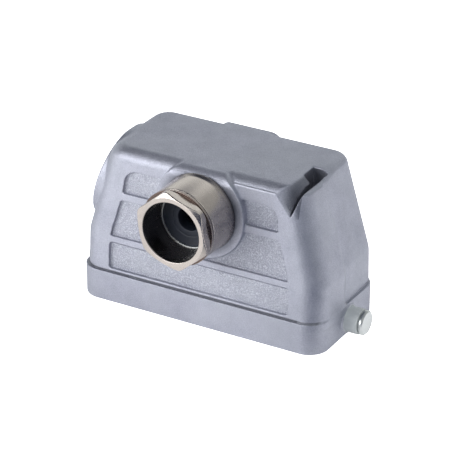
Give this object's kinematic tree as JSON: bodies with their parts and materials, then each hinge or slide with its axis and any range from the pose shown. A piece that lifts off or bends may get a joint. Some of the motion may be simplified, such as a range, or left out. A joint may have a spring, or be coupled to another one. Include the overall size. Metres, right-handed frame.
{
  "type": "heavy duty rectangular connector",
  "caption": "Rectangular cable hood with side cable gland, locking pegs and a screw-terminal pin insert inside, for plugging a multi-core cable into a machine.",
  "frame": {"origin": "centre of the mating opening, on the rim plane", "axes": "+X along the hood, -Y out of the cable gland, +Z from the rim up to the top face"},
  "size_m": [0.108, 0.0596, 0.057],
  "materials": {
    "hood": "die cast, powder coated light grey",
    "steel": "zinc plated",
    "nickel": "nickel plated, smooth",
    "rubber": "smooth dark rubber",
    "insert": "moulded light grey plastic",
    "contact": "silver plated",
    "clamp": "plain"
  },
  "bodies": {
    "hood": {"hood_shell": "hood", "locking_peg_right": "steel", "locking_peg_left": "steel", "gland_sleeve": "nickel", "gland_gasket": "rubber", "gland_seal": "rubber", "insert_body": "insert", "insert_rear_guide": "insert", "contact_pins": "contact", "terminal_cages": "clamp", "terminal_screws": "steel", "wire_plates": "steel", "earth_plate_right": "contact", "earth_plate_left": "contact", "earth_clamp_saddles": "steel", "earth_clamp_screws": "steel", "fixing_screws": "steel", "fixing_washers": "steel", "insert_stay_pins": "steel"},
    "thrust_ring": {"gland_thrust_ring": "steel"},
    "pressure_screw": {"gland_pressure_screw": "nickel"}
  },
  "joints": [
    {"name": "gland_travel", "type": "slide", "parent": "hood", "child": "thrust_ring", "axis": [0, 1, 0], "range_m": [-0.00301, 0]},
    {"name": "gland_turn", "type": "hinge", "parent": "thrust_ring", "child": "pressure_screw", "pos_m": [0.00075, -0.03, 0.0424], "axis": [0, 1, 0], "range_deg": [-720, 0]}
  ],
  "couplings": [
    {"joint": "gland_travel", "follows": "gland_turn", "m_per_rad": 0.00023873}
  ]
}
